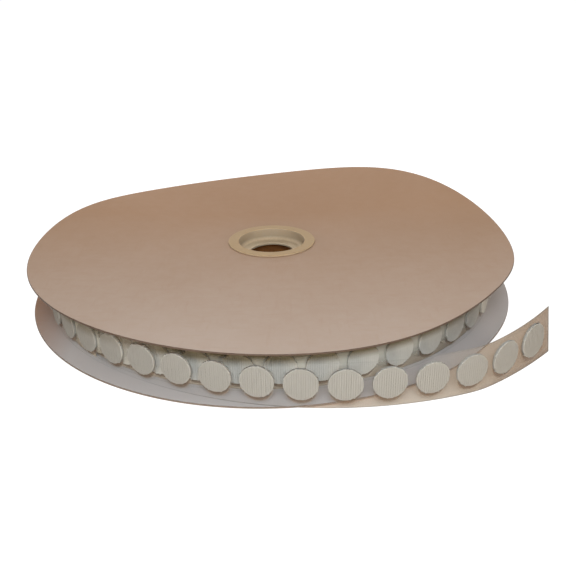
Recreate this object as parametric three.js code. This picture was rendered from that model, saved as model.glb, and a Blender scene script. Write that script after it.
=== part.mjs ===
// A reel of round hook dots: two paperboard discs and a paperboard core on a two-part
// plastic hub, wound with a clear liner film that carries the dots. The outermost turn
// springs open at the front left and its free end crosses the lower disc's rim.
// Millimetres, +Z up along the reel's axis, origin on the axis at the base.

import * as THREE from 'three';

// Hub: two like halves, pressed into the core from both ends
const ARBOR_RADIUS = 12.7; // hole for a 1 inch arbor
const LEDGE_WIDTH = 7.1; // floor of the cup, from the hole to the wall
const CUP_DEPTH = 6.8;
const CUP_FILLET = 3; // round between the wall and the floor
const HUB_WALL = 1.3;
const LIP_WIDTH = 4.9; // lip beyond the barrel, over the disc
const LIP_THICKNESS = 0.8;
const LIP_ROUND = 0.3;

// Core tube and discs
const CORE_WALL = 4;
const FLANGE_RADIUS = 139.7; // 11 inch disc
const FLANGE_THICKNESS = 0.9;
const RIM_DEPTH = 10.4; // disc rim beyond the liner of a full reel

// Warp of the upper disc: [direction, rise at the rim, spread] with angles in degrees
const FLANGE_LIFTS = [
  [47.6, 14.3, 37.3],
  [156.4, 4.5, 24.6],
  [234.5, 3.6, 47.7],
  [325, 4.8, 21.4],
];
const WARP_POWER = 1.8; // the rise grows with this power of the way from the hub to the rim

// Liner film and dots
const DOT_DIAMETER = 15.875; // 5/8 inch
const DOT_SPACE = 3.175; // 1/8 inch between dots
const DOT_THICKNESS = 1.5;
const DOT_RAISE = 1; // the dots' middle above the film's
const LINER_MARGIN = 3.35; // film above and below the dots
const LINER_THICKNESS = 0.3;
const EDGE_CLEARANCE = 0.3; // between the film's edges and the discs

// Winding: the outermost turn, counted back from the take-off at the front left
const TAKE_OFF_ANGLE = -132.5; // degrees
const WOUND_DOTS = 40;
const LINER_LEAD = 57; // film before the first of these dots, under the take-off

// Free end, along the film from the take-off
const TAIL_DOTS = 12;
const FIRST_TAIL_DOT = 17.9; // take-off to the middle of the first dot
const TAIL_SPRING = 45.4; // its bend radius is this much wider than the winding
const TAIL_OPEN_LENGTH = 191.6; // after this comes a crease
const TAIL_CREASE_LENGTH = 10;
const TAIL_CREASE_TURN = 11; // degrees
const TAIL_CURL_RADIUS = 259.5; // bend radius after the crease
const TAIL_END_MARGIN = 13.1; // last dot's middle to the cut end
const TAIL_RISE = 5.5; // the cut end stands this much higher
const TAIL_LEAN = 0.15; // and leans back by this much of its height
const TAIL_RISE_LENGTH = 60;

// Clearances
const FIT = 0.1; // between pieces that are stacked or nested
const LAYER_GAP = 0.15; // between film, dots and the next layer
const TAIL_GAP = 0.3; // between the outer turn and the free end

// Sizes that follow from these
const CUP_RADIUS = ARBOR_RADIUS + LEDGE_WIDTH;
const BARREL_RADIUS = CUP_RADIUS + HUB_WALL;
const LIP_RADIUS = BARREL_RADIUS + LIP_WIDTH;
const FLANGE_HOLE_RADIUS = BARREL_RADIUS + FIT;
const CORE_OUTER_RADIUS = FLANGE_HOLE_RADIUS + CORE_WALL;
const CLAMP_RADIUS = Math.max(LIP_RADIUS, CORE_OUTER_RADIUS);
const LINER_WIDTH = DOT_DIAMETER + 2 * LINER_MARGIN;
const CORE_LENGTH = LINER_WIDTH + 2 * EDGE_CLEARANCE;
const LOWER_FLANGE_Z = LIP_THICKNESS + FIT;
const CORE_Z = LOWER_FLANGE_Z + FLANGE_THICKNESS + FIT;
const UPPER_FLANGE_Z = CORE_Z + CORE_LENGTH + FIT;
const REEL_HEIGHT = UPPER_FLANGE_Z + FLANGE_THICKNESS + FIT + LIP_THICKNESS;
const LINER_Z = CORE_Z + FIT / 2 + LINER_WIDTH / 2;
const WINDING_RADIUS = FLANGE_RADIUS - RIM_DEPTH;
const DOT_PITCH = DOT_DIAMETER + DOT_SPACE;
const DOT_INNER = LINER_THICKNESS / 2 + LAYER_GAP;
const LAYER = LINER_THICKNESS + DOT_THICKNESS + 2 * LAYER_GAP;
const TAIL_SPLIT = FIRST_TAIL_DOT - DOT_PITCH / 2;
const TAIL_END = FIRST_TAIL_DOT + (TAIL_DOTS - 1) * DOT_PITCH + TAIL_END_MARGIN;
const LINER_START = FIRST_TAIL_DOT - WOUND_DOTS * DOT_PITCH - LINER_LEAD;
const TAIL_OPEN_RADIUS = WINDING_RADIUS + TAIL_SPRING;
const TAIL_CREASE_RADIUS = TAIL_CREASE_LENGTH / THREE.MathUtils.degToRad(TAIL_CREASE_TURN);

// Facets
const HUB_SEGMENTS = 40;
const FLANGE_SEGMENTS = 72;
const FLANGE_RINGS = 7;
const TURN_STEPS = 120;
const TAIL_STEPS = 40;
const DOT_SIDES = 24;
const PACK_STEP = THREE.MathUtils.degToRad(0.5); // width of the step in the winding's outline

const FULL_TURN = 2 * Math.PI;
const takeOff = THREE.MathUtils.degToRad(TAKE_OFF_ANGLE);

const paperboard = () => new THREE.MeshStandardMaterial({ color: 0xad8e77, roughness: 0.75 });
const greyBoard = () => new THREE.MeshStandardMaterial({ color: 0xa2a09e, roughness: 0.8 });
const whitePlastic = () => new THREE.MeshStandardMaterial({ color: 0xd8d2c6, roughness: 0.4 });
const hookFabric = () => new THREE.MeshStandardMaterial({ color: 0xd9d4ca, roughness: 0.9 });
const woundLayers = () => new THREE.MeshStandardMaterial({ color: 0xc6c1b4, roughness: 0.85 });
const clearFilm = () =>
  new THREE.MeshStandardMaterial({ color: 0xb9ac9e, roughness: 0.3, transparent: true, opacity: 0.5 });

function part(name, geometry, material) {
  const mesh = new THREE.Mesh(geometry, material);
  mesh.name = name;
  return mesh;
}

// Revolves a closed profile of (radius, height) points about the reel's axis
function revolve(profile, segments) {
  const points = profile.getPoints(2);
  const geometry = new THREE.LatheGeometry(points, segments);
  return geometry.rotateX(Math.PI / 2);
}

// Joins rings of points into one closed body. Seen along the way the rings advance, each
// ring runs anticlockwise. An open row of rings gets a flat cap at both ends.
function loft(rings, closed) {
  const sides = rings[0].length;
  const positions = rings.flat().flatMap((p) => [p.x, p.y, p.z]);
  const index = [];
  const bands = closed ? rings.length : rings.length - 1;
  for (let i = 0; i < bands; i++) {
    const a = i * sides;
    const b = ((i + 1) % rings.length) * sides;
    for (let j = 0; j < sides; j++) {
      const k = (j + 1) % sides;
      index.push(a + j, b + j, b + k, a + j, b + k, a + k);
    }
  }
  if (!closed) {
    const end = (rings.length - 1) * sides;
    for (let j = 1; j < sides - 1; j++) {
      index.push(0, j, j + 1, end, end + j + 1, end + j);
    }
  }
  const geometry = new THREE.BufferGeometry();
  geometry.setAttribute('position', new THREE.Float32BufferAttribute(positions, 3));
  geometry.setIndex(index);
  geometry.computeVertexNormals();
  return geometry;
}

// One hub half, lip down: the cup's floor with the arbor hole, its wall, and the lip
function hubGeometry() {
  const floorTop = CUP_DEPTH + HUB_WALL;
  const quarter = Math.PI / 2;
  const profile = new THREE.Path();
  profile.moveTo(ARBOR_RADIUS, floorTop);
  profile.lineTo(ARBOR_RADIUS, CUP_DEPTH);
  profile.lineTo(CUP_RADIUS - CUP_FILLET, CUP_DEPTH);
  profile.absarc(CUP_RADIUS - CUP_FILLET, CUP_DEPTH - CUP_FILLET, CUP_FILLET, quarter, 0, true);
  profile.lineTo(CUP_RADIUS, LIP_ROUND);
  profile.absarc(CUP_RADIUS + LIP_ROUND, LIP_ROUND, LIP_ROUND, 2 * quarter, 3 * quarter, false);
  profile.lineTo(LIP_RADIUS - LIP_ROUND, 0);
  profile.absarc(LIP_RADIUS - LIP_ROUND, LIP_ROUND, LIP_ROUND, 3 * quarter, 4 * quarter, false);
  profile.lineTo(LIP_RADIUS, LIP_THICKNESS);
  profile.lineTo(BARREL_RADIUS, LIP_THICKNESS);
  profile.lineTo(BARREL_RADIUS, floorTop);
  profile.lineTo(ARBOR_RADIUS, floorTop);
  return revolve(profile, HUB_SEGMENTS);
}

// A plain ring with a rectangular section, standing on the plane z = 0
function ringGeometry(inner, outer, height, segments) {
  const profile = new THREE.Path();
  profile.moveTo(inner, 0);
  profile.lineTo(outer, 0);
  profile.lineTo(outer, height);
  profile.lineTo(inner, height);
  profile.lineTo(inner, 0);
  return revolve(profile, segments);
}

// Rise of the warped disc at a radius and a direction: a sum of bell-shaped lifts around
// the rim, fading to nothing where the hub clamps the disc
function warp(radius, angle) {
  const reach = Math.max(0, (radius - CLAMP_RADIUS) / (FLANGE_RADIUS - CLAMP_RADIUS));
  let rise = 0;
  for (const [direction, height, spread] of FLANGE_LIFTS) {
    const away = THREE.MathUtils.euclideanModulo(angle - direction + 180, 360) - 180;
    rise += height * Math.exp(-((away / spread) ** 2));
  }
  return rise * reach ** WARP_POWER;
}

// The upper disc: radial sections that follow the warp, closed all the way round
function warpedFlangeGeometry() {
  const radii = [FLANGE_HOLE_RADIUS];
  for (let i = 0; i < FLANGE_RINGS; i++) {
    radii.push(CLAMP_RADIUS + ((FLANGE_RADIUS - CLAMP_RADIUS) * i) / (FLANGE_RINGS - 1));
  }
  const rings = [];
  for (let i = 0; i < FLANGE_SEGMENTS; i++) {
    const degrees = (360 * i) / FLANGE_SEGMENTS;
    const angle = THREE.MathUtils.degToRad(degrees);
    const face = (z) =>
      radii.map((r) => new THREE.Vector3(r * Math.cos(angle), r * Math.sin(angle), z + warp(r, degrees)));
    rings.push([...face(0), ...face(FLANGE_THICKNESS).reverse()]);
  }
  return loft(rings, true);
}

// The winding is a spiral that steps in by one layer a turn, by the angle back from the take-off
const spiralRadius = (back) => WINDING_RADIUS - (LAYER * back) / FULL_TURN;

// Angle back from the take-off for a length of film, from length = R a - LAYER a^2 / 4 pi
function spiralAngle(length) {
  const slope = LAYER / (2 * FULL_TURN);
  return (WINDING_RADIUS - Math.sqrt(WINDING_RADIUS ** 2 - 4 * slope * length)) / (2 * slope);
}

// A step along an arc that bends left: where it ends and which way it then heads
function alongArc(start, radius, length) {
  const heading = start.heading + length / radius;
  return {
    x: start.x + radius * (Math.sin(heading) - Math.sin(start.heading)),
    y: start.y - radius * (Math.cos(heading) - Math.cos(start.heading)),
    heading,
  };
}

// The middle of the film at a length along it: below 0 it is on the winding, above 0 it has
// sprung open to a wider arc, then it turns in at a crease and runs on in a last wide arc
function linerAt(length) {
  const back = length < 0 ? spiralAngle(-length) : 0;
  const angle = takeOff - back;
  const radius = spiralRadius(back);
  const start = {
    x: radius * Math.cos(angle),
    y: radius * Math.sin(angle),
    heading: angle + Math.PI / 2,
  };
  if (length <= 0) return start;
  const open = alongArc(start, TAIL_OPEN_RADIUS, Math.min(length, TAIL_OPEN_LENGTH));
  if (length <= TAIL_OPEN_LENGTH) return open;
  const creased = Math.min(length - TAIL_OPEN_LENGTH, TAIL_CREASE_LENGTH);
  const crease = alongArc(open, TAIL_CREASE_RADIUS, creased);
  return alongArc(crease, TAIL_CURL_RADIUS, length - TAIL_OPEN_LENGTH - creased);
}

// A point on the film: length along it, height from its middle, and distance out of its face.
// Over its last stretch the free end rises and leans back
function onLiner(length, up, out) {
  const { x, y, heading } = linerAt(length);
  const way = Math.max(0, (length - TAIL_END + TAIL_RISE_LENGTH) / TAIL_RISE_LENGTH);
  const z = LINER_Z + up + TAIL_RISE * way ** 2;
  const face = out - TAIL_LEAN * way ** 1.5 * up;
  return new THREE.Vector3(x + face * Math.sin(heading), y - face * Math.cos(heading), z);
}

// A section of film or dot across the liner: from out0 to out1, as high as middle +-half
const section = (length, middle, half, out0, out1) => [
  onLiner(length, middle - half, out1),
  onLiner(length, middle + half, out1),
  onLiner(length, middle + half, out0),
  onLiner(length, middle - half, out0),
];

// A stretch of the film, standing on edge
function linerGeometry(from, to, steps) {
  const rings = [];
  for (let i = 0; i <= steps; i++) {
    const length = THREE.MathUtils.lerp(from, to, i / steps);
    rings.push(section(length, 0, LINER_WIDTH / 2, -LINER_THICKNESS / 2, LINER_THICKNESS / 2));
  }
  return loft(rings, false);
}

// A round dot bent along the film, cut into upright slices
function dotGeometry(middle) {
  const radius = DOT_DIAMETER / 2;
  const rings = [];
  for (let i = 0; i < DOT_SIDES / 2; i++) {
    const angle = ((i + 0.5) * FULL_TURN) / DOT_SIDES;
    const along = middle - radius * Math.cos(angle);
    const half = radius * Math.sin(angle);
    rings.push(section(along, DOT_RAISE, half, DOT_INNER, DOT_INNER + DOT_THICKNESS));
  }
  return loft(rings, false);
}

// All the inner turns as one ring, whose outline follows the spiral under the outer turn
// and steps in by one layer where that turn begins
function woundTapeGeometry() {
  const inner = CORE_OUTER_RADIUS + FIT;
  const inset = LINER_THICKNESS / 2 + LAYER_GAP;
  const first = Math.max(0, spiralAngle(-LINER_START) - FULL_TURN + 2 * PACK_STEP);
  const rings = [];
  for (let i = 0; i <= TURN_STEPS; i++) {
    const back = first + (FULL_TURN - PACK_STEP) * (1 - i / TURN_STEPS);
    const angle = takeOff - back;
    const point = (r, up) => new THREE.Vector3(r * Math.cos(angle), r * Math.sin(angle), LINER_Z + up);
    const outer = spiralRadius(back) - inset;
    const half = LINER_WIDTH / 2;
    rings.push([point(outer, -half), point(outer, half), point(inner, half), point(inner, -half)]);
  }
  return loft(rings, true);
}

// The least distance between two places on the outer turn that lie at least half a turn apart
function leastSelfGap() {
  const spacing = (TAIL_SPLIT - LINER_START) / TURN_STEPS;
  let least = Infinity;
  for (let i = 0; i <= TURN_STEPS; i++) {
    for (let j = i + TURN_STEPS / 2; j <= TURN_STEPS; j++) {
      const a = onLiner(LINER_START + i * spacing, 0, 0);
      const b = onLiner(LINER_START + j * spacing, 0, 0);
      least = Math.min(least, a.distanceTo(b) - LINER_THICKNESS);
    }
  }
  return least;
}

const number = (i) => String(i).padStart(2, '0');

const lowerHub = part('lower_hub', hubGeometry(), whitePlastic());
const upperHub = part('upper_hub', hubGeometry(), whitePlastic());
upperHub.rotation.x = Math.PI;
upperHub.position.z = REEL_HEIGHT;

const bottomFlange = part(
  'bottom_flange',
  ringGeometry(FLANGE_HOLE_RADIUS, FLANGE_RADIUS, FLANGE_THICKNESS, FLANGE_SEGMENTS),
  greyBoard(),
);
bottomFlange.position.z = LOWER_FLANGE_Z;

const topFlange = part('top_flange', warpedFlangeGeometry(), paperboard());
topFlange.position.z = UPPER_FLANGE_Z;

const coreTube = part(
  'core_tube',
  ringGeometry(FLANGE_HOLE_RADIUS, CORE_OUTER_RADIUS, CORE_LENGTH, HUB_SEGMENTS),
  paperboard(),
);
coreTube.position.z = CORE_Z;

const reel = new THREE.Group();
reel.add(lowerHub, upperHub, bottomFlange, topFlange, coreTube);
reel.add(part('wound_tape', woundTapeGeometry(), woundLayers()));
reel.add(part('liner_outer_turn', linerGeometry(LINER_START, TAIL_SPLIT, TURN_STEPS), clearFilm()));
for (let i = 1; i <= WOUND_DOTS; i++) {
  const middle = FIRST_TAIL_DOT - i * DOT_PITCH;
  reel.add(part(`wound_dot_${number(i)}`, dotGeometry(middle), hookFabric()));
}

const tail = new THREE.Group();
tail.add(part('liner_tail', linerGeometry(TAIL_SPLIT + TAIL_GAP, TAIL_END, TAIL_STEPS), clearFilm()));
for (let i = 1; i <= TAIL_DOTS; i++) {
  const middle = FIRST_TAIL_DOT + (i - 1) * DOT_PITCH;
  tail.add(part(`tail_dot_${number(i)}`, dotGeometry(middle), hookFabric()));
}

console.log(`least gap of the outer turn to itself: ${leastSelfGap().toFixed(2)} mm`);

const roll = new THREE.Group();
roll.add(reel, tail);

export default roll;
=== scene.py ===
"""Finished look of a reel of hook dots: discs, hub, wound film, free end and woven dots."""

import math

import bmesh
import bpy
import numpy as np
from bpy.props import FloatProperty, FloatVectorProperty, PointerProperty
from mathutils import Matrix, Vector


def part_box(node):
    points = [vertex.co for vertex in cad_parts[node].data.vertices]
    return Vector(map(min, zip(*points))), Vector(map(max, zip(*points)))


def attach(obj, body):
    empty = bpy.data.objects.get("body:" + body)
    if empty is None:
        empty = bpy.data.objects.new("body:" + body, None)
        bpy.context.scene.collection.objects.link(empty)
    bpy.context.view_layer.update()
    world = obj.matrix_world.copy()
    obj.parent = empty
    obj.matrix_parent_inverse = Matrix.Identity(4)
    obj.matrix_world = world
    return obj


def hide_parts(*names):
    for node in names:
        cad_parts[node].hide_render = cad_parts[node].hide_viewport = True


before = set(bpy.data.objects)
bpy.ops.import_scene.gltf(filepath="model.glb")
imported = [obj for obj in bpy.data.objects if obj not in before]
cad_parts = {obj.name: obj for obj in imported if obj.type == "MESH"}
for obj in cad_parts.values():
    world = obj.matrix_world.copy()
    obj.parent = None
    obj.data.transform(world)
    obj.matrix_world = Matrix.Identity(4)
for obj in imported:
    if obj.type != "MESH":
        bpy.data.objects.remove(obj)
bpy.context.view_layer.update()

bl_info = {
    "name": "Hook dot reel",
    "version": (1, 0, 0),
    "blender": (4, 5, 0),
    "location": "View3D > Sidebar > Dot reel",
    "description": "Builds a reel of hook dots on a clear film, with its studio stage",
    "category": "Object",
}

MM = 0.001
FULL_TURN = 2 * math.pi

# Where the film runs, from the take-off at the front left, in metres along it
TAKE_OFF = math.radians(-132.5)
FIRST_TAIL_DOT = 17.9 * MM
TAIL_DOTS = 12
WOUND_DOTS = 40
TAIL_SPLIT = 8.375 * MM
TAIL_GAP = 0.3 * MM
TAIL_END = 240.55 * MM
TAIL_OPEN_RADIUS = 174.7 * MM
TAIL_OPEN_LENGTH = 191.6 * MM
TAIL_CREASE_LENGTH = 10 * MM
TAIL_CREASE_RADIUS = TAIL_CREASE_LENGTH / math.radians(11)
TAIL_CURL_RADIUS = 259.5 * MM
TAIL_RISE = 5.5 * MM
TAIL_LEAN = 0.15
TAIL_RISE_LENGTH = 60 * MM

# Warp of the upper disc: direction in degrees, rise at the rim, spread in degrees
DISC_LIFTS = (
    (47.6, 14.3 * MM, 37.3),
    (156.4, 4.5 * MM, 24.6),
    (234.5, 3.6 * MM, 47.7),
    (325, 4.8 * MM, 21.4),
)
WARP_POWER = 1.8


def srgb(red, green, blue):
    """Linear colour with full alpha of an sRGB one given in steps of 0 to 255."""
    steps = np.array([red, green, blue]) / 255
    linear = np.where(steps <= 0.04045, steps / 12.92, ((steps + 0.055) / 1.055) ** 2.4)
    return (*linear.tolist(), 1.0)


def length(name, description, default):
    """A length property in metres."""
    return FloatProperty(name=name, description=description, default=default, unit="LENGTH", precision=5)


def power(name, description, default):
    """The power of a lamp in watts."""
    return FloatProperty(name=name, description=description, default=default, unit="POWER")


def colour(name, description, default):
    """A colour property."""
    return FloatVectorProperty(
        name=name, description=description, default=default, size=4, subtype="COLOR", min=0, max=1
    )


class DotReelBody(bpy.types.PropertyGroup):
    """Sizes and colours of the discs, the core and the hub."""

    disc_radius: length("Disc radius", "Outer radius of both discs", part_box("bottom_flange")[1].x)
    disc_thickness: length("Disc thickness", "Thickness of the board", 0.9 * MM)
    lower_disc_z: length("Lower disc height", "Underside of lower disc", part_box("bottom_flange")[0].z)
    upper_disc_z: length("Upper disc height", "Underside of the upper disc at the hub", 25.175 * MM)
    arbor_radius: length("Arbor radius", "Hole through the hub", 12.7 * MM)
    cup_radius: length("Cup radius", "Inside of the hub's cup", 19.8 * MM)
    cup_depth: length("Cup depth", "Depth of the cup's floor below the lip", 6.8 * MM)
    cup_fillet: length("Cup fillet", "Round between the cup's wall and floor", 3 * MM)
    hub_wall: length("Hub wall", "Wall of the barrel and floor of the cup", 1.3 * MM)
    lip_radius: length("Lip radius", "Outer radius of the hub's lip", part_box("lower_hub")[1].x)
    lip_thickness: length("Lip thickness", "Thickness of the hub's lip", 0.8 * MM)
    reel_height: length("Reel height", "From lip to lip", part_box("upper_hub")[1].z)
    tan_board: colour("Upper board", "Outer face of the upper disc", srgb(180, 141, 110))
    # Painted sheen: the front of the upper disc is painted paler and greyer, standing in for light on
    # it.
    tan_painted_sheen: colour("Paled board", "Front of the upper disc, paled with use", srgb(190, 170, 157))
    grey_board: colour("Lower board", "Inner face of the lower disc", srgb(201, 196, 196))
    # Painted shade: the left of the lower disc is painted browner where the upper disc shades it.
    grey_painted_shade: colour("Soiled board", "Left of the lower disc, browned with use", srgb(168, 118, 80))
    plain_board: colour("Plain board", "Undersides of both discs", srgb(192, 146, 92))
    # Painted shade: the upper disc's cut edge is coloured dark as the shadow line under its rim.
    tan_edge_shade: colour("Upper edge", "Cut edge of the upper disc", srgb(90, 74, 64))
    grey_edge: colour("Lower edge", "Cut edge of the lower disc", srgb(124, 110, 100))
    kraft_core: colour("Kraft core", "Paper of the core tube", srgb(140, 89, 46))
    hub_plastic: colour("Hub plastic", "Moulded plastic of the hub", srgb(193, 162, 122))
    # Painted light: the ledge round the hole, in the cup's shade, is painted paler.
    hub_painted_ledge_light: colour("Hub ledge tone", "Plastic of the ledge round the hole", srgb(224, 203, 174))
    # Painted shade: the hub's upright walls are painted greyer.
    hub_painted_wall_shade: colour("Hub wall tone", "Plastic of the hub's upright walls", srgb(169, 155, 137))


class DotReelTape(bpy.types.PropertyGroup):
    """Sizes and colours of the film and its dots."""

    winding_radius: length("Winding radius", "Middle of the film at the take-off", 129.3 * MM)
    layer: length("Layer", "Radial step of one turn", 2.1 * MM)
    film_width: length("Film width", "Height of the film as it stands on edge", 22.575 * MM)
    film_thickness: length("Film thickness", "Thickness of the film", 0.3 * MM)
    film_z: length("Film height", "Middle of the film above the base", 13.2375 * MM)
    core_radius: length("Core radius", "Innermost turn of film", 25.6 * MM)
    dot_diameter: length("Dot diameter", "Diameter of one dot", 15.875 * MM)
    dot_pitch: length("Dot pitch", "From dot to dot along the film", 19.05 * MM)
    dot_raise: length("Dot raise", "Middle of the dots above the film's middle", 1 * MM)
    dot_base: length("Dot base", "Thickness of the woven ground", 1.32 * MM)
    hook_height: length("Hook height", "Height of a hook above the ground", 0.18 * MM)
    hook_pitch: length("Hook pitch", "From column to column of hooks", 1.0 * MM)
    hook_step: length("Hook step", "From hook to hook up a column", 0.7 * MM)
    hook_thickness: length("Hook thickness", "Diameter of a hook's thread", 0.74 * MM)
    film_tint: colour("Film", "Body of the clear film", srgb(186, 174, 160))
    film_brown: colour("Brown film", "Film towards its cut end", srgb(138, 112, 88))
    wound_tint: colour("Wound film", "Film and dots of the inner turns", srgb(214, 212, 202))
    low_margin: colour("Lower margin", "Lower edges of the inner turns", srgb(182, 171, 156))
    # Painted shade: the upper margin of the inner turns, under the upper disc, is painted dark olive.
    high_margin_shade: colour("Upper margin", "Upper edges of the inner turns", srgb(140, 127, 94))
    # Painted shadow: the brown arc each dot casts on the film below it.
    dot_painted_shadow: colour("Adhesive", "Adhesive behind the dots", srgb(116, 94, 74))
    hook_white: colour("Hook thread", "Woven white thread of the dots", srgb(153, 150, 145))
    # Painted shadow: the upper disc's shadow on the top of the wound dots and on the film there.
    hook_disc_shadow: colour("Soiled thread", "Top of the wound dots, next to the disc", srgb(104, 94, 68))
    # Painted shade: dots of the turn below, seen between the outer dots, are painted darker and
    # yellower.
    hook_inner_shade: colour("Inner thread", "Thread of the dots of the turn below", srgb(158, 146, 127))
    # Painted light: covered dots and the upper rims of dots are painted paler than the thread.
    hook_painted_light: colour("Clean thread", "Thread of covered dots and of the rims", srgb(198, 196, 190))


class DotReelStage(bpy.types.PropertyGroup):
    """Light and floor."""

    key_power: power("Key power", "Light above the camera", 1.17)
    left_power: power("Left power", "Low light at the front left", 1.9)
    right_power: power("Right power", "Low light at the front right", 2.65)
    rear_power: power("Rear power", "Each of the two low lights behind", 3.5)
    back_power: power("Back power", "Wide light high behind", 2.8)
    ambient: FloatProperty(name="Ambient", description="Strength of the world's light", default=0.15)
    floor: colour("Floor", "Floor as it lights the object and shows behind film", srgb(231, 216, 201))


# Arrays and meshes


def grid_faces(rows, columns, close_rows=False, close_columns=False):
    """Quads between neighbours of a grid of points, joined round in either direction if closed."""
    i = np.arange(rows if close_rows else rows - 1)[:, None]
    j = np.arange(columns if close_columns else columns - 1)[None, :]
    next_i, next_j = (i + 1) % rows, (j + 1) % columns
    corners = (i * columns + j, next_i * columns + j, next_i * columns + next_j, i * columns + next_j)
    return np.stack(corners, axis=-1).reshape(-1, 4)


def put_mesh(name, points, faces, uv=None):
    """A smooth-shaded mesh object at the origin from points, faces and one UV pair per point."""
    mesh = bpy.data.meshes.new(name)
    mesh.from_pydata(np.asarray(points).reshape(-1, 3).tolist(), [], faces)
    if uv is not None:
        order = np.zeros(len(mesh.loops), dtype=np.int32)
        mesh.loops.foreach_get("vertex_index", order)
        layer = mesh.uv_layers.new(name="surface")
        layer.data.foreach_set("uv", np.asarray(uv).reshape(-1, 2)[order].ravel())
    mesh.shade_smooth()
    mesh.validate()
    piece = bpy.data.objects.new(name, mesh)
    bpy.context.scene.collection.objects.link(piece)
    return piece


def revolved(name, profile, segments, rise=None):
    """A closed profile of (radius, height) carried round the reel's axis.

    Each point goes to (r cos a, r sin a, z), and z gains rise(r, a) where that is given.
    """
    angle = np.linspace(0, FULL_TURN, segments, endpoint=False)[:, None]
    radius, height = np.array(profile).T[:, None, :]
    lift = 0 if rise is None else rise(radius, angle)
    z = height + lift + 0 * angle
    points = np.stack([radius * np.cos(angle), radius * np.sin(angle), z], axis=-1)
    faces = grid_faces(segments, len(profile), close_rows=True, close_columns=True)
    return put_mesh(name, points, faces.tolist())


def arc(x, y, radius, start, end, steps=4):
    """Points (x + r cos a, y + r sin a) with a from start to end, in quarter turns."""
    a = np.linspace(start, end, steps + 1) * math.pi / 2
    return list(zip(x + radius * np.cos(a), y + radius * np.sin(a)))


# The film's route


def film_route(tape, along):
    """Middle of the film and its heading at a length along it.

    Before the take-off it is a spiral, whose radius falls by one layer a turn. After it, an arc
    wider than the winding, a short tight arc at a crease, and a last wide arc.
    """
    slope = tape.layer / (2 * FULL_TURN)
    wound = np.maximum(-along, 0)
    back = (tape.winding_radius - np.sqrt(tape.winding_radius**2 - 4 * slope * wound)) / (2 * slope)
    angle = TAKE_OFF - back
    radius = tape.winding_radius - tape.layer * back / FULL_TURN
    x, y, heading = radius * np.cos(angle), radius * np.sin(angle), angle + math.pi / 2
    start = 0.0
    for bend, stretch in (
        (TAIL_OPEN_RADIUS, TAIL_OPEN_LENGTH),
        (TAIL_CREASE_RADIUS, TAIL_CREASE_LENGTH),
        (TAIL_CURL_RADIUS, TAIL_END),
    ):
        turned = heading + np.clip(along - start, 0, stretch) / bend
        start += stretch
        x = x + bend * (np.sin(turned) - np.sin(heading))
        y = y - bend * (np.cos(turned) - np.cos(heading))
        heading = turned
    return x, y, heading


def on_film(tape, along, up, out):
    """Points at a length along the film, a height from its middle and a distance out of its face.

    Over its last stretch the free end rises with the square of the way, and leans back with
    the way to the power 1.5.
    """
    along, up, out = np.broadcast_arrays(along, up, out)
    x, y, heading = film_route(tape, along)
    way = np.maximum((along - TAIL_END + TAIL_RISE_LENGTH) / TAIL_RISE_LENGTH, 0)
    z = tape.film_z + up + TAIL_RISE * way**2
    out = out - TAIL_LEAN * way**1.5 * up
    return np.stack([x + out * np.sin(heading), y - out * np.cos(heading), z], axis=-1)


def film_band(tape, name, along, half, inner, outer, columns=7, middle=0.0):
    """A band standing on edge: a flat closed section carried along the film's route.

    The section runs up the outer face and down the inner face, with the same number of points
    on both, and both ends are closed by quads across it.
    """
    up = middle + np.linspace(-half, half, columns)
    section_up = np.concatenate([up, up[::-1]])
    section_out = np.repeat([outer, inner], columns)
    points = on_film(tape, along[:, None], section_up[None, :], section_out[None, :])
    faces = grid_faces(len(along), 2 * columns, close_columns=True).tolist()
    j = np.arange(columns - 1)
    mirror = 2 * columns - 1 - j
    start = np.stack([j, j + 1, mirror - 1, mirror], axis=-1)
    end = start[:, ::-1] + (len(along) - 1) * 2 * columns
    faces += start.tolist() + end.tolist()
    uv = np.stack(np.broadcast_arrays(along[:, None], section_up[None, :]), axis=-1)
    return put_mesh(name, points, faces, uv)


# Dots


def dot_ground(tape, middles, sides=40):
    """Woven ground of round dots: a rounded rim profile turned about the middle of each dot.

    A profile point (r, w) at angle a lies r cos a along the film, r sin a up and w out of it.
    """
    hook_overhang, seat, edge = 0.3 * MM, 0.02 * MM, 0.15 * MM
    radius = tape.dot_diameter / 2 - hook_overhang
    back = tape.film_thickness / 2 + seat
    front = back + tape.dot_base
    profile = [(0, back), (radius, back), (radius, front - edge)]
    profile += arc(radius - edge, front - edge, edge, 0, 1, 2)[1:]
    profile += [(radius - 2 * edge, front), (radius / 2, front), (0, front)]
    r, w = np.array(profile).T
    angle = np.linspace(0, FULL_TURN, sides, endpoint=False)[:, None]
    across, up = r * np.cos(angle), r * np.sin(angle)
    points = on_film(tape, middles[:, None, None] + across, tape.dot_raise + up, w)
    faces = grid_faces(sides, len(profile), close_rows=True)
    offset = np.arange(len(middles))[:, None, None] * sides * len(profile)
    uv = np.stack(np.broadcast_arrays(middles[:, None, None] + across, up), axis=-1)
    return points.reshape(-1, 3), (faces + offset).reshape(-1, 4), uv.reshape(-1, 2)


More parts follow.
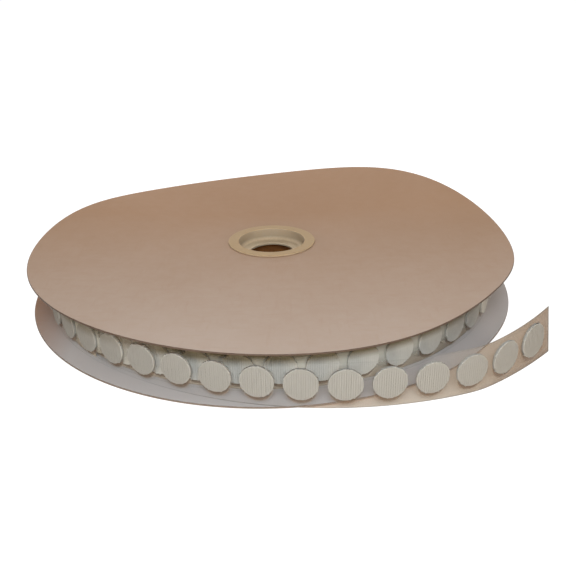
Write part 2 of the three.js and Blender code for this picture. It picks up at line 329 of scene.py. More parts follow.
def dot_hooks(tape, middles, seed):
    """Hooks on the dots: three-sided threads along a crook, in upright columns.

    With t from 0 to 1, a crook lies c (1 - cos 0.8 pi t) along its column and h sin 0.8 pi t out of
    the film. Whole columns lean up and down in turn, and each dot is punched at its own height of
    the weave.
    """
    random = np.random.default_rng(seed)
    rim, sunk, reach = 0.25 * MM, 0.05 * MM, 0.15 * MM
    pitch, step, radius = tape.hook_pitch, tape.hook_step, tape.dot_diameter / 2 - rim
    rows, columns = int(2 * radius / step) + 2, 2 * int(radius / pitch) + 1
    row, column = np.meshgrid(np.arange(rows), np.arange(columns), indexing="ij")
    shift = random.uniform(0, 1, (len(middles), 1, 1))
    jitter = random.normal(0, 0.03 * pitch, (2, len(middles), rows, columns))
    across = (column - (columns - 1) / 2) * pitch + jitter[0]
    up = (row + shift - 1) * step - radius + jitter[1]
    inside = np.hypot(across, up) < radius
    middle = np.broadcast_to(middles[:, None, None], inside.shape)[inside]
    lean = np.broadcast_to(np.where(column % 2, 1.0, -1.0), inside.shape)[inside]
    across, up = across[inside], up[inside]
    root = tape.film_thickness / 2 + sunk
    height = tape.dot_base + tape.hook_height - sunk
    turn = 0.8 * math.pi * np.linspace(0, 1, 3)
    crook_up = lean[:, None] * reach * (1 - np.cos(turn))
    crook_out = np.broadcast_to(height * np.sin(turn), crook_up.shape)
    tangent_up = lean[:, None] * reach * np.sin(turn)
    tangent_out = np.broadcast_to(height * np.cos(turn), crook_up.shape)
    size = np.hypot(tangent_up, tangent_out)
    taper = np.array([1.2, 1.0, 0.75])
    thread = tape.hook_thickness / 2 * taper
    round_angle = -FULL_TURN * np.arange(3) / 3
    sideways = (thread[:, None] * np.cos(round_angle))[None]
    upward = (thread[:, None] * np.sin(round_angle))[None]
    local_up = crook_up[..., None] + upward * (tangent_out / size)[..., None]
    local_out = root + crook_out[..., None] - upward * (tangent_up / size)[..., None]
    along = (middle + across)[:, None, None] + sideways + 0 * local_up
    points = on_film(tape, along, tape.dot_raise + up[:, None, None] + local_up, local_out)
    foot = np.stack([middle + across, up], axis=-1)[:, None, None, :]
    weave = np.broadcast_to(foot, local_up.shape + (2,))
    tube = grid_faces(3, 3, close_columns=True)
    caps = np.array([[0, 1, 2], [8, 7, 6]])
    offset = np.arange(len(middle))[:, None, None] * 9
    return (
        points.reshape(-1, 3),
        (tube + offset).reshape(-1, 4),
        (caps + offset).reshape(-1, 3),
        weave.reshape(-1, 2),
    )


def hook_dots(tape, name, middles, seed):
    """One mesh of woven dots with their hooks, at these lengths along the film."""
    middles = np.atleast_1d(middles)
    ground, ground_faces, ground_uv = dot_ground(tape, middles)
    hooks, tube_faces, cap_faces, hook_uv = dot_hooks(tape, middles, seed)
    shift = len(ground)
    faces = ground_faces.tolist() + (tube_faces + shift).tolist() + (cap_faces + shift).tolist()
    piece = put_mesh(name, np.concatenate([ground, hooks]), faces, np.concatenate([ground_uv, hook_uv]))
    weld_poles(piece)
    return piece


def weld_poles(piece):
    """Merges the points that meet in the middle of each dot, so its faces close there."""
    same_place = 1e-7
    work = bmesh.new()
    work.from_mesh(piece.data)
    bmesh.ops.remove_doubles(work, verts=work.verts, dist=same_place)
    work.to_mesh(piece.data)
    work.free()


# Shader nodes


def add_node(tree, kind, **values):
    """A shader node with attributes or input values set by name; underscores stand for spaces."""
    made = tree.nodes.new(kind)
    for name, value in values.items():
        if hasattr(made, name):
            setattr(made, name, value)
        else:
            made.inputs[name.replace("_", " ")].default_value = value
    return made


def math_node(tree, operation, first, second=None):
    """The result of a Math node; each operand is a socket or a number."""
    made = add_node(tree, "ShaderNodeMath", operation=operation)
    for socket, value in zip(made.inputs, (first, second)):
        if isinstance(value, bpy.types.NodeSocket):
            tree.links.new(value, socket)
        elif value is not None:
            socket.default_value = value
    return made.outputs[0]


def mix_colour(tree, factor, first, second):
    """A colour between two; each input is a socket or a value."""
    made = add_node(tree, "ShaderNodeMix", data_type="RGBA")
    for socket, value in zip((made.inputs[0], made.inputs[6], made.inputs[7]), (factor, first, second)):
        if isinstance(value, bpy.types.NodeSocket):
            tree.links.new(value, socket)
        else:
            socket.default_value = value
    return made.outputs[2]


def ramp(tree, value, low, high, to_low=0.0, to_high=1.0):
    """A clamped linear step of a value from one range to another."""
    made = add_node(tree, "ShaderNodeMapRange")
    tree.links.new(value, made.inputs["Value"])
    for name, number in (("From Min", low), ("From Max", high), ("To Min", to_low), ("To Max", to_high)):
        made.inputs[name].default_value = number
    return made.outputs["Result"]


def hypotenuse(tree, first, second):
    """The root of the sum of two squares."""
    squares = math_node(tree, "POWER", first, 2), math_node(tree, "POWER", second, 2)
    return math_node(tree, "SQRT", math_node(tree, "ADD", *squares))


def scaled(base, factor):
    """A colour made darker or lighter by a factor, with full alpha."""
    return tuple(factor * c for c in base[:3]) + (1.0,)


def new_group(name, inputs, outputs):
    """A shader node group with float or vector inputs and float outputs, and its two end nodes."""
    tree = bpy.data.node_groups.new(name, "ShaderNodeTree")
    for label, kind, value in inputs:
        socket = tree.interface.new_socket(label, in_out="INPUT", socket_type=f"NodeSocket{kind}")
        if value is not None:
            socket.default_value = value
    for label in outputs:
        tree.interface.new_socket(label, in_out="OUTPUT", socket_type="NodeSocketFloat")
    return tree, tree.nodes.new("NodeGroupInput").outputs, tree.nodes.new("NodeGroupOutput").inputs


def mottle_group():
    """Soft uneven tone: a coarse and a fine noise added, both by place on the surface."""
    name = "Mottle"
    if name in bpy.data.node_groups:
        return bpy.data.node_groups[name]
    inputs = [("Vector", "Vector", None), ("Coarse", "Float", 30.0), ("Fine", "Float", 400.0)]
    tree, given, result = new_group(name, inputs, ["Mask"])
    parts = []
    for scale in ("Coarse", "Fine"):
        noise = add_node(tree, "ShaderNodeTexNoise", Detail=4.0, Roughness=0.6)
        tree.links.new(given["Vector"], noise.inputs["Vector"])
        tree.links.new(given[scale], noise.inputs["Scale"])
        parts.append(noise.outputs["Fac"])
    both = math_node(tree, "ADD", *parts)
    tree.links.new(ramp(tree, both, 0.7, 1.3), result["Mask"])
    return tree


def fibre_group():
    """Paper fibre: short flecks from two noises stretched at right angles, with a fine tooth."""
    name = "Paper fibre"
    if name in bpy.data.node_groups:
        return bpy.data.node_groups[name]
    inputs = [("Vector", "Vector", None), ("Scale", "Float", 500.0)]
    tree, given, result = new_group(name, inputs, ["Flecks", "Height"])
    parts = []
    for stretch in ((1.0, 0.16, 1.0), (0.16, 1.0, 1.0)):
        turned = add_node(tree, "ShaderNodeMapping", Scale=stretch)
        tree.links.new(given["Vector"], turned.inputs["Vector"])
        noise = add_node(tree, "ShaderNodeTexNoise", Detail=3.0)
        tree.links.new(turned.outputs["Vector"], noise.inputs["Vector"])
        tree.links.new(given["Scale"], noise.inputs["Scale"])
        parts.append(noise.outputs["Fac"])
    most = math_node(tree, "MAXIMUM", *parts)
    tree.links.new(ramp(tree, most, 0.55, 0.75), result["Flecks"])
    tree.links.new(math_node(tree, "ADD", *parts), result["Height"])
    return tree


def use_group(tree, group, vector, **values):
    """A group placed in a material, fed with a vector and its own values."""
    made = add_node(tree, "ShaderNodeGroup", node_tree=group)
    tree.links.new(vector, made.inputs["Vector"])
    for name, value in values.items():
        made.inputs[name].default_value = value
    return made.outputs


def new_material(name, **values):
    """A material with one Principled shader whose constant inputs are set by name, and its tree."""
    material = bpy.data.materials.new(name)
    material.use_nodes = True
    tree = material.node_tree
    tree.nodes.clear()
    shader = add_node(tree, "ShaderNodeBsdfPrincipled", **values)
    tree.links.new(shader.outputs[0], add_node(tree, "ShaderNodeOutputMaterial").inputs["Surface"])
    return material, tree, shader.inputs


def add_bump(tree, shader, height, strength, distance):
    """Fine relief of the surface from a height."""
    bump = add_node(tree, "ShaderNodeBump", Strength=strength, Distance=distance)
    tree.links.new(height, bump.inputs["Height"])
    tree.links.new(bump.outputs["Normal"], shader["Normal"])


def from_axis(tree, place):
    """Distance of a place from the reel's axis."""
    flat = add_node(tree, "ShaderNodeVectorMath", operation="MULTIPLY")
    tree.links.new(place, flat.inputs[0])
    flat.inputs[1].default_value = (1, 1, 0)
    distance = add_node(tree, "ShaderNodeVectorMath", operation="LENGTH")
    tree.links.new(flat.outputs[0], distance.inputs[0])
    return distance.outputs["Value"]


def board_material(name, body, face, cut, painted_tint, towards, near, far):
    """Coated paperboard: a flecked, softly mottled upper face, a plain underside and a fibrous cut edge.

    The face takes on painted light towards one side, from a near to a far distance from the reel's axis
    that way: a paler painted sheen at the front of the upper disc, a browner painted shade at the left
    of the lower disc. The edge is where the distance from the axis comes within a fifth of a millimetre
    of the rim; on the upper disc its dark colour is a painted shadow line under the rim.
    """
    material, tree, shader = new_material(name, Specular_IOR_Level=0.15)
    shade = scaled(face, 0.89)
    place = add_node(tree, "ShaderNodeTexCoord").outputs["Object"]
    fibre = use_group(tree, fibre_group(), place, Scale=420.0)
    mottle = use_group(tree, mottle_group(), place, Coarse=14.0, Fine=160.0)
    that_way = add_node(tree, "ShaderNodeVectorMath", operation="DOT_PRODUCT")
    tree.links.new(place, that_way.inputs[0])
    that_way.inputs[1].default_value = towards
    # Painted light towards one side: sheen on the upper disc, shade on the lower disc.
    painted_face = mix_colour(tree, ramp(tree, that_way.outputs["Value"], near, far), face, painted_tint)
    tone = mix_colour(tree, math_node(tree, "MULTIPLY", mottle["Mask"], 0.15), painted_face, shade)
    flecked = mix_colour(tree, math_node(tree, "MULTIPLY", fibre["Flecks"], 0.12), tone, shade)
    facing = add_node(tree, "ShaderNodeSeparateXYZ")
    tree.links.new(add_node(tree, "ShaderNodeNewGeometry").outputs["Normal"], facing.inputs[0])
    under = ramp(tree, facing.outputs["Z"], -0.5, -0.3, 1.0, 0.0)
    both = mix_colour(tree, under, flecked, body.plain_board)
    rim = body.disc_radius
    edge = ramp(tree, from_axis(tree, place), rim - 0.3 * MM, rim - 0.2 * MM)
    # The cut colour on the upper disc is a painted shadow line under the rim.
    tree.links.new(mix_colour(tree, edge, both, cut), shader["Base Color"])
    tree.links.new(ramp(tree, mottle["Mask"], 0, 1, 0.5, 0.6), shader["Roughness"])
    add_bump(tree, shader, fibre["Height"], 0.25, 0.05 * MM)
    return material


def kraft_material(body):
    """Kraft paper of the core tube: brown, flecked with fibre and softly mottled."""
    material, tree, shader = new_material("Kraft core", Specular_IOR_Level=0.15)
    place = add_node(tree, "ShaderNodeTexCoord").outputs["Object"]
    fibre = use_group(tree, fibre_group(), place, Scale=420.0)
    mottle = use_group(tree, mottle_group(), place, Coarse=30.0, Fine=300.0)
    dark = scaled(body.kraft_core, 0.75)
    marks = math_node(tree, "ADD", math_node(tree, "MULTIPLY", mottle["Mask"], 0.5), fibre["Flecks"])
    tree.links.new(mix_colour(tree, marks, body.kraft_core, dark), shader["Base Color"])
    tree.links.new(ramp(tree, mottle["Mask"], 0, 1, 0.7, 0.85), shader["Roughness"])
    add_bump(tree, shader, fibre["Height"], 0.25, 0.05 * MM)
    return material


def hub_material(body):
    """Moulded plastic: tan with an uneven gloss; painted light makes the ledge paler, painted shade the
    cup's wall greyer.
    """
    material, tree, shader = new_material("Hub plastic", Specular_IOR_Level=0.08, IOR=1.49)
    place = add_node(tree, "ShaderNodeTexCoord").outputs["Object"]
    mottle = use_group(tree, mottle_group(), place, Coarse=60.0, Fine=900.0)
    dull = scaled(body.hub_plastic, 0.86)
    level = add_node(tree, "ShaderNodeSeparateXYZ")
    tree.links.new(add_node(tree, "ShaderNodeNewGeometry").outputs["Normal"], level.inputs[0])
    upright = ramp(tree, math_node(tree, "ABSOLUTE", level.outputs["Z"]), 0.3, 0.8, 1.0, 0.0)
    out = from_axis(tree, place)
    hole_edge = ramp(tree, out, body.arbor_radius + 0.5 * MM, body.arbor_radius + 1.5 * MM)
    # Painted shade on the cup's upright wall; painted light on the ledge inside the lip.
    wall = math_node(tree, "MULTIPLY", upright, hole_edge)
    lip = ramp(tree, out, body.cup_radius - 0.2 * MM, body.cup_radius + 0.3 * MM)
    level_faces = mix_colour(tree, lip, body.hub_painted_ledge_light, body.hub_plastic)
    plastic = mix_colour(tree, wall, level_faces, body.hub_painted_wall_shade)
    tone = mix_colour(tree, math_node(tree, "MULTIPLY", mottle["Mask"], 0.4), plastic, dull)
    tree.links.new(tone, shader["Base Color"])
    tree.links.new(ramp(tree, mottle["Mask"], 0, 1, 0.28, 0.42), shader["Roughness"])
    add_bump(tree, shader, mottle["Mask"], 0.15, 0.05 * MM)
    return material


def film_coordinates(tree):
    """The film's own coordinates: metres along it and metres up from its middle."""
    surface = add_node(tree, "ShaderNodeUVMap", uv_map="surface").outputs["UV"]
    split = add_node(tree, "ShaderNodeSeparateXYZ")
    tree.links.new(surface, split.inputs[0])
    return surface, split.outputs["X"], split.outputs["Y"]


def from_dot(tree, tape, along):
    """Metres along the film from the middle of the nearest dot."""
    half = tape.dot_pitch / 2
    past = math_node(tree, "SUBTRACT", along, FIRST_TAIL_DOT - half)
    return math_node(tree, "SUBTRACT", math_node(tree, "FLOORED_MODULO", past, tape.dot_pitch), half)


def film_material(tape):
    """Clear film: thin see-through body with drawn streaks, denser cut edges and painted dot shadows.

    The painted shadow of each dot is a brown patch behind it, set a little low, so that an arc of it
    shows below the dot. The upper edge of the film only shows where it stands clear of the reel. On the
    winding the film looks milky, with a painted shadow of the upper disc along its top; towards its
    cut end it is browner and denser.
    """
    material, tree, shader = new_material("Clear film", Specular_IOR_Level=0.5, IOR=1.49)
    surface, along, up = film_coordinates(tree)
    drawn = add_node(tree, "ShaderNodeMapping", Scale=(6.0, 240.0, 1.0))
    tree.links.new(surface, drawn.inputs["Vector"])
    streak = add_node(tree, "ShaderNodeTexNoise", Scale=1.0, Detail=3.0)
    tree.links.new(drawn.outputs["Vector"], streak.inputs["Vector"])
    line = 0.4 * MM
    low_edge_shows, high_edge_shows = (30 * MM, 100 * MM), (170 * MM, 200 * MM)
    low = ramp(tree, up, -tape.film_width / 2, line - tape.film_width / 2, 1.0, 0.0)
    bottom = math_node(tree, "MULTIPLY", low, ramp(tree, along, *low_edge_shows, 0.15, 1.0))
    high = ramp(tree, up, tape.film_width / 2 - line, tape.film_width / 2)
    top = math_node(tree, "MULTIPLY", high, ramp(tree, along, *high_edge_shows, 0.1, 0.7))
    end = ramp(tree, along, TAIL_END - line, TAIL_END)
    edge = math_node(tree, "MAXIMUM", math_node(tree, "MAXIMUM", bottom, top), end)
    # Painted shadow below each dot: a dot-sized patch set low behind it.
    drop, inset = 3.2 * MM, 0.9 * MM
    past = from_dot(tree, tape, along)
    raised = math_node(tree, "SUBTRACT", up, tape.dot_raise - drop)
    away = hypotenuse(tree, past, raised)
    beyond = math_node(tree, "SUBTRACT", away, tape.dot_diameter / 2 - inset)
    below = ramp(tree, up, -5 * MM, -1 * MM, 1.0, 0.0)
    dot_shadow_mask = math_node(tree, "MULTIPLY", ramp(tree, beyond, -0.5 * MM, 0.4 * MM, 1.0, 0.0), below)
    haze = ramp(tree, streak.outputs["Fac"], 0.3, 0.7, 0.012, 0.03)
    dark = scaled(tape.film_tint, 0.45)
    late = ramp(tree, along, 0.7 * TAIL_END, TAIL_END)
    wound = ramp(tree, along, 0.0, 50 * MM, 1.0, 0.0)
    # Painted shadow of the upper disc along the top of the film on the winding.
    milk = mix_colour(tree, ramp(tree, up, 2 * MM, 7 * MM), tape.wound_tint, tape.hook_disc_shadow)
    clear = mix_colour(tree, late, tape.film_tint, tape.film_brown)
    body = mix_colour(tree, edge, mix_colour(tree, wound, clear, milk), dark)
    tree.links.new(mix_colour(tree, dot_shadow_mask, body, tape.dot_painted_shadow), shader["Base Color"])
    dense = math_node(tree, "MULTIPLY", math_node(tree, "MAXIMUM", edge, dot_shadow_mask), 0.35)
    milky = math_node(tree, "MULTIPLY", wound, ramp(tree, up, -6 * MM, 0.0, 0.0, 0.6))
    browned = math_node(tree, "MULTIPLY", late, 0.45)
    veil = math_node(tree, "ADD", haze, math_node(tree, "MAXIMUM", milky, browned))
    tree.links.new(math_node(tree, "ADD", veil, dense), shader["Alpha"])
    tree.links.new(ramp(tree, streak.outputs["Fac"], 0.3, 0.7, 0.15, 0.3), shader["Roughness"])
    add_bump(tree, shader, streak.outputs["Fac"], 0.2, 0.1 * MM)
    return material


def wound_material(tape):
    """Inner turns: pale where dots lie behind the film, duller along the lower margin, painted shade
    along the upper one.
    """
    material, tree, shader = new_material("Wound film", Specular_IOR_Level=0.35)
    surface, _, up = film_coordinates(tree)
    raised = math_node(tree, "SUBTRACT", up, tape.dot_raise)
    reach = math_node(tree, "ABSOLUTE", raised)
    margin = ramp(tree, reach, 2.5 * MM, tape.dot_diameter / 2)
    mottle = use_group(tree, mottle_group(), surface, Coarse=150.0, Fine=1500.0)
    dull = scaled(tape.wound_tint, 0.85)
    tone = mix_colour(tree, mottle["Mask"], tape.wound_tint, dull)
    high = math_node(tree, "GREATER_THAN", raised, 0.0)
    # The upper margin's colour is painted shade under the upper disc.
    edges = mix_colour(tree, high, tape.low_margin, tape.high_margin_shade)
    tree.links.new(mix_colour(tree, margin, tone, edges), shader["Base Color"])
    tree.links.new(ramp(tree, mottle["Mask"], 0, 1, 0.35, 0.55), shader["Roughness"])
    return material


def hook_material(tape):
    """White woven hook: ribs up the columns, shaded ground between them and a soft uneven tone.

    The upper rim of a dot gets painted light, while its lower side keeps its shade. On the winding the
    dots get a painted shadow of the upper disc next to it, painted light where the free end covers them
    and a darker, yellower painted shade on the turn below.
    """
    material, tree, shader = new_material("Hook weave", Specular_IOR_Level=0.2, Sheen_Weight=0.15)
    surface, along, up = film_coordinates(tree)
    past = from_dot(tree, tape, along)
    ribs = math_node(tree, "COSINE", math_node(tree, "MULTIPLY", past, FULL_TURN / tape.hook_pitch))
    mottle = use_group(tree, mottle_group(), surface, Coarse=200.0, Fine=2200.0)
    covered, turn_below = (-580 * MM, -560 * MM), (-800 * MM, -780 * MM)
    # Dots covered by the free end get painted light, offsetting their shade.
    bared = mix_colour(tree, ramp(tree, along, *covered), tape.hook_painted_light, tape.hook_white)
    # Dots of the turn below get a darker, yellower painted shade.
    white = mix_colour(tree, ramp(tree, along, *turn_below), tape.hook_inner_shade, bared)
    wound = ramp(tree, along, -20 * MM, 30 * MM, 1.0, 0.0)
    # Painted shadow of the upper disc on the top of the wound dots.
    top = math_node(tree, "MULTIPLY", ramp(tree, up, 1 * MM, 5 * MM), wound)
    radius = tape.dot_diameter / 2
    # Painted light on the upper rim of each dot; the lower side keeps its shade.
    rim = ramp(tree, hypotenuse(tree, past, up), radius - 0.6 * MM, radius - 0.35 * MM)
    rim_light_mask = math_node(tree, "MULTIPLY", rim, ramp(tree, up, -4 * MM, -1 * MM, 0.0, 0.45))
    rimmed = mix_colour(tree, rim_light_mask, white, tape.hook_painted_light)
    tone = mix_colour(tree, top, rimmed, tape.hook_disc_shadow)
    worn = math_node(tree, "MULTIPLY", mottle["Mask"], 0.25)
    # Painted shade on the ground between the hook columns, joined with the uneven tone.
    shade = math_node(tree, "MAXIMUM", worn, ramp(tree, ribs, -0.2, 0.6, 0.1, 0.0))
    dull = scaled(tape.hook_white, 0.8)
    tree.links.new(mix_colour(tree, shade, tone, dull), shader["Base Color"])
    tree.links.new(ramp(tree, mottle["Mask"], 0, 1, 0.65, 0.85), shader["Roughness"])
    add_bump(tree, shader, ribs, 0.2, 0.08 * MM)
    return material


def finished(piece, material, body, slot, *nodes):
    """Gives a piece its material and its CAD body and hides the CAD nodes it stands for; slot is not
    used.
    """
    piece.data.materials.clear()
    piece.data.materials.append(material)
    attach(piece, body)
    if nodes:
        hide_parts(*nodes)
    return piece


def shared(name, make, *values):
    """The material of that name, made once."""
    return bpy.data.materials.get(name) or make(*values)


# Pieces


class DOTREEL_OT_stage(bpy.types.Operator):
    """White floor, soft lights and the camera"""

    bl_idname = "dot_reel.stage"
    bl_label = "Stage"

    def execute(self, context):
        stage = context.scene.dot_reel_stage
        context.scene.view_settings.view_transform = "Standard"
        make_floor(stage)
        make_world(stage)
        make_lights(stage)
        make_camera()
        return {"FINISHED"}


def shown_directly(tree, depth_limit=None):
    """1 for what the camera, a reflection or a clear refraction sees, else 0.

    With a depth limit, rays that have come through the film count as unseen.
    """
    path = add_node(tree, "ShaderNodeLightPath").outputs
    camera = path["Is Camera Ray"]
    if depth_limit is not None:
        bare = math_node(tree, "LESS_THAN", path["Transparent Depth"], depth_limit)
        camera = math_node(tree, "MULTIPLY", camera, bare)
    seen = math_node(tree, "MAXIMUM", camera, path["Is Glossy Ray"])
    return math_node(tree, "MAXIMUM", seen, path["Is Transmission Ray"])


def make_floor(stage):
    """A wide level floor: white where it is seen, its own colour elsewhere."""
    reach, level = 12.0, -0.02 * MM
    corners = [(reach * x, reach * y, level) for x, y in ((-1, -1), (1, -1), (1, 1), (-1, 1))]
    floor = put_mesh("floor", corners, [[0, 1, 2, 3]])
    material = bpy.data.materials.new("Floor")
    material.use_nodes = True
    tree = material.node_tree
    tree.nodes.clear()
    own = add_node(tree, "ShaderNodeBsdfDiffuse", Color=stage.floor)
    shadow = add_node(tree, "ShaderNodeBsdfDiffuse", Color=(0.24, 0.24, 0.24, 1))
    white = add_node(tree, "ShaderNodeEmission", Strength=0.995)
    lit = add_node(tree, "ShaderNodeAddShader")
    tree.links.new(shadow.outputs[0], lit.inputs[0])
    tree.links.new(white.outputs[0], lit.inputs[1])
    mix = add_node(tree, "ShaderNodeMixShader")
    tree.links.new(shown_directly(tree, 0.5), mix.inputs[0])
    tree.links.new(own.outputs[0], mix.inputs[1])
    tree.links.new(lit.outputs[0], mix.inputs[2])
    tree.links.new(mix.outputs[0], add_node(tree, "ShaderNodeOutputMaterial").inputs["Surface"])
    floor.data.materials.append(material)


def make_world(stage):
    """White where it is seen, and an even warm light on the object elsewhere."""
    world = bpy.data.worlds.new("Studio")
    world.use_nodes = True
    tree = world.node_tree
    tree.nodes.clear()
    light = add_node(tree, "ShaderNodeBackground")
    seen = shown_directly(tree)
    tree.links.new(mix_colour(tree, seen, (1.0, 0.86, 0.72, 1), (1, 1, 1, 1)), light.inputs["Color"])
    tree.links.new(ramp(tree, seen, 0, 1, stage.ambient, 1.0), light.inputs["Strength"])
    tree.links.new(light.outputs[0], add_node(tree, "ShaderNodeOutputWorld").inputs["Surface"])
    bpy.context.scene.world = world


def make_lights(stage):
    """A cool light above the camera, warm ones low all round and a wide one high behind.

    The low lights behind leave no sheen on the boards.
    """
    lamps = (
        ("key", stage.key_power, (0.14, 0.14), (0.01, -0.43, 0.25), (0.85, 0.945, 1.0)),
        ("left", stage.left_power, (0.3, 0.2), (-0.5, -0.7, 0.12), (1.0, 0.9, 0.76)),
        ("right", stage.right_power, (0.3, 0.2), (0.5, -0.7, 0.12), (1.0, 0.88, 0.72)),
        ("rear left", stage.rear_power, (0.3, 0.12), (-0.6, 0.6, 0.08), (1.0, 0.96, 0.9)),
        ("rear right", stage.rear_power, (0.3, 0.12), (0.6, 0.6, 0.08), (1.0, 0.96, 0.9)),
        ("back", stage.back_power, (0.8, 0.25), (0.0, 0.62, 0.6), (0.97, 0.98, 0.95)),
    )
    for name, watts, (wide, tall), place, tint in lamps:
        lamp = bpy.data.lights.new(name, "AREA")
        lamp.shape = "RECTANGLE"
        lamp.size, lamp.size_y = wide, tall
        lamp.energy, lamp.color = watts, tint
        holder = bpy.data.objects.new(name, lamp)
        holder.location = place
        holder.rotation_euler = (-Vector(place)).to_track_quat("-Z", "Y").to_euler()
        holder.visible_glossy = not name.startswith("rear")
        bpy.context.scene.collection.objects.link(holder)


def make_camera():
    """The photograph's view: from the front, 24.6 degrees down, with a slight roll."""
    down, roll = math.radians(24.554), math.radians(-0.87)
    place = Vector((9.4, -393.5, 174.6)) * MM
    level = Vector((1, 0, 0))
    ahead = Vector((0, math.cos(down), -math.sin(down)))
    upright = level.cross(ahead)
    right = math.cos(roll) * level + math.sin(roll) * upright
    up = math.cos(roll) * upright - math.sin(roll) * level
    lens = bpy.data.cameras.new("camera")
    lens.lens, lens.sensor_width = 43.51, 36.0
    lens.clip_start, lens.clip_end = 0.01, 100.0
    camera = bpy.data.objects.new("camera", lens)
    camera.matrix_world = Matrix.Translation(place) @ Matrix((right, up, -ahead)).transposed().to_4x4()
    bpy.context.scene.collection.objects.link(camera)
    bpy.context.scene.camera = camera


class DOTREEL_OT_tail(bpy.types.Operator):
    """Free end of the film with its dots"""

    bl_idname = "dot_reel.tail"
    bl_label = "Free end"

    def execute(self, context):
        tape = context.scene.dot_reel_tape
        film = shared("Clear film", film_material, tape)
        weave = shared("Hook weave", hook_material, tape)
        along = np.linspace(TAIL_SPLIT + TAIL_GAP, TAIL_END, 120)
        half, thick = tape.film_width / 2, tape.film_thickness / 2
        strip = film_band(tape, "film_tail", along, half, -thick, thick)
        finished(strip, film, "tail", "film", "liner_tail")
        for number in range(1, TAIL_DOTS + 1):
            middle = FIRST_TAIL_DOT + (number - 1) * tape.dot_pitch
            dot = hook_dots(tape, f"tail_hook_dot_{number:02d}", middle, seed=number)
            finished(dot, weave, f"peeling_dot_{number:02d}", "dots", f"tail_dot_{number:02d}")
        route = on_film(tape, along[::4], 0.0, 0.0)
        on_film(tape, TAIL_SPLIT, 0.0, 0.0).tolist()
        np.vstack([route, on_film(tape, along[-1:], 0.0, 0.0)]).tolist()
        return {"FINISHED"}


class DOTREEL_OT_winding(bpy.types.Operator):
    """Outer turn with its dots, the dots of the turn below and all the inner turns"""

    bl_idname = "dot_reel.winding"
    bl_label = "Winding"

    def execute(self, context):
        tape = context.scene.dot_reel_tape
        film = shared("Clear film", film_material, tape)
        weave = shared("Hook weave", hook_material, tape)
        wound = shared("Wound film", wound_material, tape)
        half, thick = tape.film_width / 2, tape.film_thickness / 2
        slope = tape.layer / (2 * FULL_TURN)
        turns = (tape.winding_radius - tape.core_radius) / tape.layer

        def length_back(angle):
            """Film wound over an angle back from the take-off: R a - layer a^2 / 4 pi."""
            return tape.winding_radius * angle - slope * angle**2

        one_turn = length_back(FULL_TURN)
        outer = film_band(
            tape, "film_outer_turn", np.linspace(-one_turn, TAIL_SPLIT, 361), half, -thick, thick
        )
        finished(outer, film, "reel", "film", "liner_outer_turn")
        back = np.linspace(FULL_TURN, turns * FULL_TURN, int(turns * 60))
        inner = film_band(tape, "film_inner_turns", -length_back(back)[::-1], half, -thick, thick, 5)
        finished(inner, wound, "reel", "winding", "wound_tape")
        back = back[back > 2 * FULL_TURN]
        gap = 0.02 * MM
        layers = film_band(
            tape,
            "dot_layers",
            -length_back(back)[::-1],
            tape.dot_diameter / 2,
            thick + gap,
            tape.layer - thick - gap,
            3,
            tape.dot_raise,
        )
        finished(layers, wound, "reel", "winding")
        count = np.arange(1, int(length_back(2 * FULL_TURN) / tape.dot_pitch))
        middles = FIRST_TAIL_DOT - count * tape.dot_pitch
        dots = hook_dots(tape, "wound_hook_dots", middles[:WOUND_DOTS], seed=101)
        finished(dots, weave, "reel", "dots", *[f"wound_dot_{i:02d}" for i in range(1, WOUND_DOTS + 1)])
        below = hook_dots(tape, "second_turn_hook_dots", middles[WOUND_DOTS:], seed=102)
        finished(below, weave, "reel", "dots")
        return {"FINISHED"}


class DOTREEL_OT_discs(bpy.types.Operator):
    """Upper and lower paperboard disc and the core tube"""

    bl_idname = "dot_reel.discs"
    bl_label = "Discs and core"

    def execute(self, context):
        body = context.scene.dot_reel_body
        front, left = (0, -1, 0), (-1, 0, 0)
        # The first span places painted sheen on the upper disc, the second painted shade on the lower
        # disc.
        paled, painted_shade_span = (-50 * MM, 140 * MM), (100 * MM, 140 * MM)
        tan = board_material(
            "Tan board", body, body.tan_board, body.tan_edge_shade, body.tan_painted_sheen, front, *paled
        )
        grey = board_material(
            "Grey board", body, body.grey_board, body.grey_edge, body.grey_painted_shade, left, *painted_shade_span
        )
        upper = revolved("top_disc", board_profile(body, body.upper_disc_z), 288, disc_warp(body))
        finished(upper, tan, "reel", "tan_board", "top_flange")
        lower = revolved("bottom_disc", board_profile(body, body.lower_disc_z), 288)
        finished(lower, grey, "reel", "grey_board", "bottom_flange")
        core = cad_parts["core_tube"]
        core.data.materials.clear()
        core.data.materials.append(kraft_material(body))
        return {"FINISHED"}


def board_profile(body, bottom):
    """Section of a disc: two flat faces joined by a softly rounded rim and a plain hole."""
    fit, edge = 0.1 * MM, 0.25 * MM
    hole = body.cup_radius + body.hub_wall + fit
    top = bottom + body.disc_thickness
    rim = body.disc_radius - edge
    radii = np.append(np.linspace(hole, rim - edge, 40), rim)
    profile = [(r, bottom) for r in radii]
    profile += arc(rim, bottom + edge, edge, -1, 0, 3)[1:]
    profile += arc(rim, top - edge, edge, 0, 1, 3)
    profile += [(r, top) for r in radii[-2::-1]]
    return profile


def disc_warp(body):
    """Rise of the warped disc: bell-shaped lifts round the rim, each h exp(-(away / spread)^2).

    They grow with a power of the way from the hub's lip to the rim, so the clamped zone stays flat.
    """

    def rise(radius, angle):
        reach = np.clip((radius - body.lip_radius) / (body.disc_radius - body.lip_radius), 0, None)
        degrees = np.degrees(angle)
        total = 0
        for direction, height, spread in DISC_LIFTS:
            away = (degrees - direction + 180) % 360 - 180
            total = total + height * np.exp(-((away / spread) ** 2))
        return total * reach**WARP_POWER

    return rise


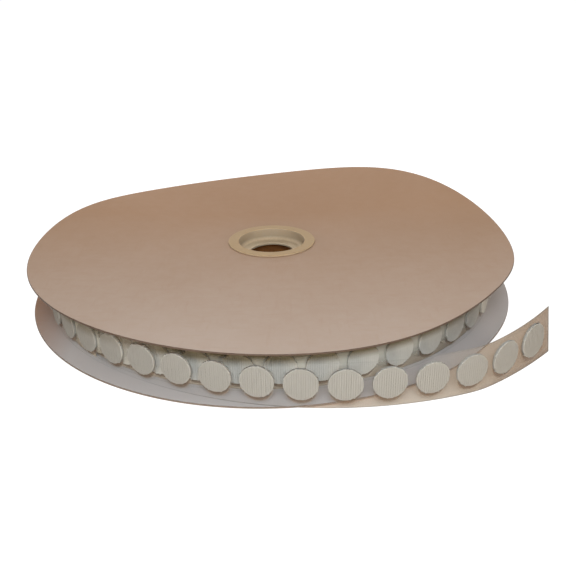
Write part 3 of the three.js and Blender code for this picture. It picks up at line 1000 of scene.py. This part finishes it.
class DOTREEL_OT_hub(bpy.types.Operator):
    """Both halves of the hub"""

    bl_idname = "dot_reel.hub"
    bl_label = "Hub"

    def execute(self, context):
        body = context.scene.dot_reel_body
        plastic = hub_material(body)
        profile = hub_profile(body)
        lower = revolved("hub_lower", profile, 120)
        finished(lower, plastic, "reel", "hub", "lower_hub")
        turned = [(r, body.reel_height - z) for r, z in reversed(profile)]
        upper = revolved("hub_upper", turned, 120)
        finished(upper, plastic, "reel", "hub", "upper_hub")
        return {"FINISHED"}


def hub_profile(body):
    """Section of one hub half, lip down: cup floor with the arbor hole, rounded wall, lip and barrel.

    It runs anticlockwise with the radius to the right and the height upwards.
    """
    soft, edge = body.cup_fillet, 0.35 * MM
    floor_top = body.cup_depth + body.hub_wall
    barrel = body.cup_radius + body.hub_wall
    profile = [(body.arbor_radius, floor_top), (body.arbor_radius, body.cup_depth + edge)]
    profile += arc(body.arbor_radius + edge, body.cup_depth + edge, edge, 2, 3, 3)[1:]
    profile += arc(body.cup_radius - soft, body.cup_depth - soft, soft, 1, 0, 10)
    profile += [(body.cup_radius, 2 * edge)]
    profile += arc(body.cup_radius + edge, edge, edge, 2, 3, 4)
    profile += [(body.cup_radius + 2 * edge, 0), (body.lip_radius - 2 * edge, 0)]
    profile += arc(body.lip_radius - edge, edge, edge, 3, 4, 4)
    profile += [(body.lip_radius, body.lip_thickness), (barrel, body.lip_thickness)]
    profile += [(barrel, floor_top)]
    return profile


class DOTREEL_PT_panel(bpy.types.Panel):
    """Sizes, colours and makers of the reel"""

    bl_label = "Hook dot reel"
    bl_idname = "DOTREEL_PT_panel"
    bl_space_type = "VIEW_3D"
    bl_region_type = "UI"
    bl_category = "Dot reel"

    def draw(self, context):
        for group in (
            context.scene.dot_reel_body, context.scene.dot_reel_tape, context.scene.dot_reel_stage
        ):
            box = self.layout.box()
            for name in group.__annotations__:
                box.prop(group, name)
        for operator in OPERATORS:
            self.layout.operator(operator.bl_idname)


GROUPS = {
    "dot_reel_body": DotReelBody,
    "dot_reel_tape": DotReelTape,
    "dot_reel_stage": DotReelStage,
}
OPERATORS = (
    DOTREEL_OT_stage,
    DOTREEL_OT_tail,
    DOTREEL_OT_winding,
    DOTREEL_OT_discs,
    DOTREEL_OT_hub,
)


def register():
    """Registers the settings, the operators and the panel."""
    for name, group in GROUPS.items():
        bpy.utils.register_class(group)
        setattr(bpy.types.Scene, name, PointerProperty(type=group))
    for operator in OPERATORS:
        bpy.utils.register_class(operator)
    bpy.utils.register_class(DOTREEL_PT_panel)


def unregister():
    """Takes everything that register added away again."""
    bpy.utils.unregister_class(DOTREEL_PT_panel)
    for operator in reversed(OPERATORS):
        bpy.utils.unregister_class(operator)
    for name, group in reversed(GROUPS.items()):
        delattr(bpy.types.Scene, name)
        bpy.utils.unregister_class(group)


def main():
    """Builds the stage and every piece."""
    register()
    bpy.ops.dot_reel.stage()
    bpy.ops.dot_reel.tail()
    bpy.ops.dot_reel.winding()
    bpy.ops.dot_reel.discs()
    bpy.ops.dot_reel.hub()


if __name__ == "__main__":
    main()
